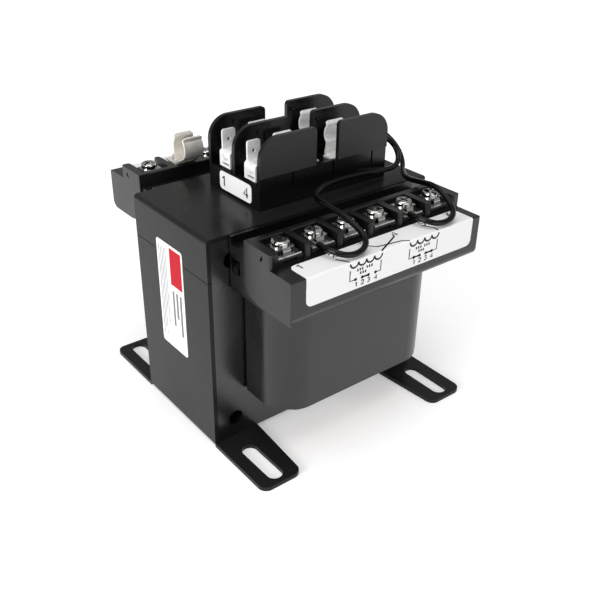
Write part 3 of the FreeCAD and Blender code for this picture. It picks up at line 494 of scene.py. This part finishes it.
BOLD = 0.75
FINE = 0.50
COIL_BUMPS = 4
BUMP_R = 2.0
COIL_Z = 95.5
BRACKET_Z = 92.7
POST_Z = 88.3
POST_R = 0.68
POST_NUMBER_H = 1.9
POST_NUMBER_DROP = 3.1
POST_NUMBER_SHIFT = 0.4
# Height of each row of marks, and where its groups stand as shares of the schematic's width
VALUE_ROWS = ((92.0, (0.32, 0.62)), (90.4, (0.42,)))
VALUE_MARKS = 3
VALUE_PITCH = 1.2
VALUE_W = 0.7
VALUE_H = 1.1
# Ends of each schematic, its link posts, and the posts that are joined to the next one
LEFT_COIL = dict(x0=-22.0, x1=-6.4, posts=(-19.1, -15.8, -12.6, -9.0), joined=(1,))
RIGHT_COIL = dict(x0=8.8, x1=24.3, posts=(11.4, 14.7, 18.1, 21.5), joined=(0, 2))

FOLD_V = -68.9
TERMINAL_COUNT = 6
TERMINAL_PITCH = 15.8
NUMBER_V = -62.4
NUMBER_H = 3.2
NUMBER_STROKE = 0.62
NUMBER_SHIFT = 0.9


def value_marks(x0, x1, place):
    """Two rows of short marks where a label gives its values."""
    marks = []
    for row, shares in VALUE_ROWS:
        low = row - VALUE_H / 2
        high = row + VALUE_H / 2
        for share in shares:
            middle = x0 + (x1 - x0) * share
            for k in range(VALUE_MARKS):
                u = middle + (k - 1) * VALUE_PITCH
                marks.append(ribbon([(u, low), (u, high)], VALUE_W, place))
    return marks


def schematic(place, x0, x1, posts, joined):
    """Winding of four bumps in a bracket over four link posts, some of them joined."""
    thick = []
    thin = []
    for i in range(COIL_BUMPS):
        centre = x0 + BUMP_R * (2 * i + 1)
        thick.append(ribbon(lower_half(centre, COIL_Z, BUMP_R), BOLD, place))
    for x in posts:
        thick.append(disc(x, POST_Z, POST_R, place))
    for i in joined:
        thick.append(ribbon([(posts[i], POST_Z), (posts[i + 1], POST_Z)], BOLD, place))
    for x, post in ((x0, posts[0]), (x1, posts[-1])):
        thin.append(ribbon([(x, BRACKET_Z), (x, POST_Z), (post, POST_Z)], FINE, place))
    number_v = POST_Z - POST_NUMBER_DROP
    for i, x in enumerate(posts):
        thin.append(digit(str(i + 1), x - POST_NUMBER_SHIFT, number_v, POST_NUMBER_H, FINE, place))
    return thick, thin + value_marks(x0, x1, place)


def ledge_lines(place):
    """Lines from the ends of both windings up to their terminals."""
    coil = 2 * BUMP_R * COIL_BUMPS
    left0 = LEFT_COIL["x0"]
    right0 = RIGHT_COIL["x0"]
    left1 = left0 + coil
    right1 = right0 + coil
    routes = [
        [(left0, FOLD_V), (-24.8, -64.0)],
        [(left1, FOLD_V), (6.6, -62.6), (7.0, -61.0)],
        [(right0, FOLD_V), (6.4, -67.2), (-5.0, -65.4), (-7.4, -62.8)],
        [(right1, FOLD_V), (right1 + 0.4, -66.0), (22.6, -61.6)],
    ]
    return [ribbon(route, BOLD, place) for route in routes]


def terminal_numbers(place):
    """One number in front of each terminal, from left to right."""
    numbers = []
    for i in range(TERMINAL_COUNT):
        x = (i - (TERMINAL_COUNT - 1) / 2) * TERMINAL_PITCH
        numbers.append(digit(str(i + 1), x - NUMBER_SHIFT, NUMBER_V, NUMBER_H, NUMBER_STROKE, place))
    return numbers


def add_label_print(side, on_face, on_top):
    """Print of the wiring label on one side, in three pieces."""
    left_bold, left_fine = schematic(on_face, **LEFT_COIL)
    right_bold, right_fine = schematic(on_face, **RIGHT_COIL)
    print_piece(side + "_print_bold", left_bold + right_bold, "print_black")
    print_piece(side + "_print_lines", ledge_lines(on_top), "print_black")
    fine = left_fine + right_fine + terminal_numbers(on_top)
    print_piece(side + "_print_numbers", fine, "print_black")


# Labels on the holder's end and on the bracket

END_NUMBERS = (("1", -9.1), ("4", 7.6))
END_V = 102.6
END_H = 4.4
END_STROKE = 0.95
FIELD = dict(u0=-0.5, u1=8.7, v0=68.3, v1=85.4)
# Rows of the nameplate: where each one starts across the plate, and its length down from the top
TITLE_TOP = 65.5
TITLE_W = 1.5
TITLE_BARS = ((0.2, 17.0), (3.1, 12.5), (6.0, 20.0))
TEXT_TOP = 84.0
TEXT_W = 0.45
TEXT_LINES = ((-9.2, 44.0), (-7.9, 40.0), (-6.6, 43.0), (-5.3, 30.0), (-4.0, 36.0))


def add_end_print():
    numbers = [digit(sign, u, END_V, END_H, END_STROKE, on_end) for sign, u in END_NUMBERS]
    print_piece("holder_print", numbers, "print_black")


def add_nameplate_print():
    """Red field, and grey bars in place of the title and the text."""
    print_piece("nameplate_field", [patch(**FIELD, place=on_plate)], "print_red")
    bars = []
    for top, width, rows in ((TITLE_TOP, TITLE_W, TITLE_BARS), (TEXT_TOP, TEXT_W, TEXT_LINES)):
        for u, length in rows:
            bars.append(patch(u, u + width, top - length, top, on_plate))
    print_piece("nameplate_bars", bars, "print_grey")


# Floor and light, in metres and watts

FLOOR_SIZE = 6.0
FLOOR_COLOUR = (0.93, 0.93, 0.93)
WORLD_LEVEL = 0.42
LAMPS = {
    "top": dict(place=(-0.2, -0.2, 1.8), aim=(0, 0, 0), size=(1.4, 1.4), power=14),
    "front": dict(place=(0.1, -1.6, 0.5), aim=(0, 0, 0.05), size=(1.2, 0.6), power=5.5),
    "left": dict(place=(-1.5, -0.2, 0.5), aim=(0, 0, 0.05), size=(0.8, 0.6), power=17),
}
# Added to the floor as the camera and reflections see it, so that it is white and keeps the shadow:
# the strength near the part, and further off where less light of the lamps falls
GLOW_NEAR = 0.27
GLOW_FAR = 0.55
GLOW_START = 0.35
GLOW_END = 1.1


def floor_glow(tree):
    """Strength of the floor's own light for camera, glossy and transmission rays."""
    rays = tree.nodes.new("ShaderNodeLightPath")
    seen = rays.outputs["Is Camera Ray"]
    for kind in ("Is Glossy Ray", "Is Transmission Ray"):
        seen = add_math(tree, "MAXIMUM", seen, rays.outputs[kind])
    place = tree.nodes.new("ShaderNodeNewGeometry")
    away = tree.nodes.new("ShaderNodeVectorMath")
    away.operation = "LENGTH"
    tree.links.new(place.outputs["Position"], away.inputs[0])
    level = add_range(tree, away.outputs["Value"], GLOW_START, GLOW_END, GLOW_NEAR, GLOW_FAR)
    return add_math(tree, "MULTIPLY", seen, level)


def add_stage():
    bpy.ops.mesh.primitive_plane_add(size=FLOOR_SIZE, location=(0, 0, 0))
    floor = bpy.context.object
    floor.name = "floor"
    material, tree, shader = new_material("floor_white", FLOOR_COLOUR, roughness=0.9, specular=0.1)
    glow = tree.nodes.new("ShaderNodeEmission")
    total = tree.nodes.new("ShaderNodeAddShader")
    tree.links.new(floor_glow(tree), glow.inputs["Strength"])
    tree.links.new(shader.outputs["BSDF"], total.inputs[0])
    tree.links.new(glow.outputs["Emission"], total.inputs[1])
    tree.links.new(total.outputs["Shader"], tree.nodes["Material Output"].inputs["Surface"])
    floor.data.materials.append(material)


def add_area(name, place, aim, size, power):
    data = bpy.data.lights.new(name, "AREA")
    data.shape = "RECTANGLE"
    data.size = size[0]
    data.size_y = size[1]
    data.energy = power
    lamp = bpy.data.objects.new(name, data)
    lamp.location = place
    lamp.rotation_mode = "QUATERNION"
    lamp.rotation_quaternion = (Vector(aim) - Vector(place)).to_track_quat("-Z", "Y")
    bpy.context.scene.collection.objects.link(lamp)


def add_light():
    world = bpy.data.worlds.new("studio")
    bpy.context.scene.world = world
    world.use_nodes = True
    background = world.node_tree.nodes["Background"]
    background.inputs["Color"].default_value = (1, 1, 1, 1)
    background.inputs["Strength"].default_value = WORLD_LEVEL
    for name, lamp in LAMPS.items():
        add_area(name, **lamp)


make_camera()
dress_cad_nodes()
lead_a = add_lead("lead_a", LEAD_A_ROUTE)
lead_b = add_lead("lead_b", LEAD_B_ROUTE)
print("lead lengths", [round(spline_length(piece) / MM, 1) for piece in (lead_a, lead_b)])
add_label_print("front", on_front, on_ledge)
add_label_print("rear", on_rear, on_rear_ledge)
add_end_print()
add_nameplate_print()
add_stage()
add_light()
bpy.context.scene.view_settings.view_transform = "Standard"
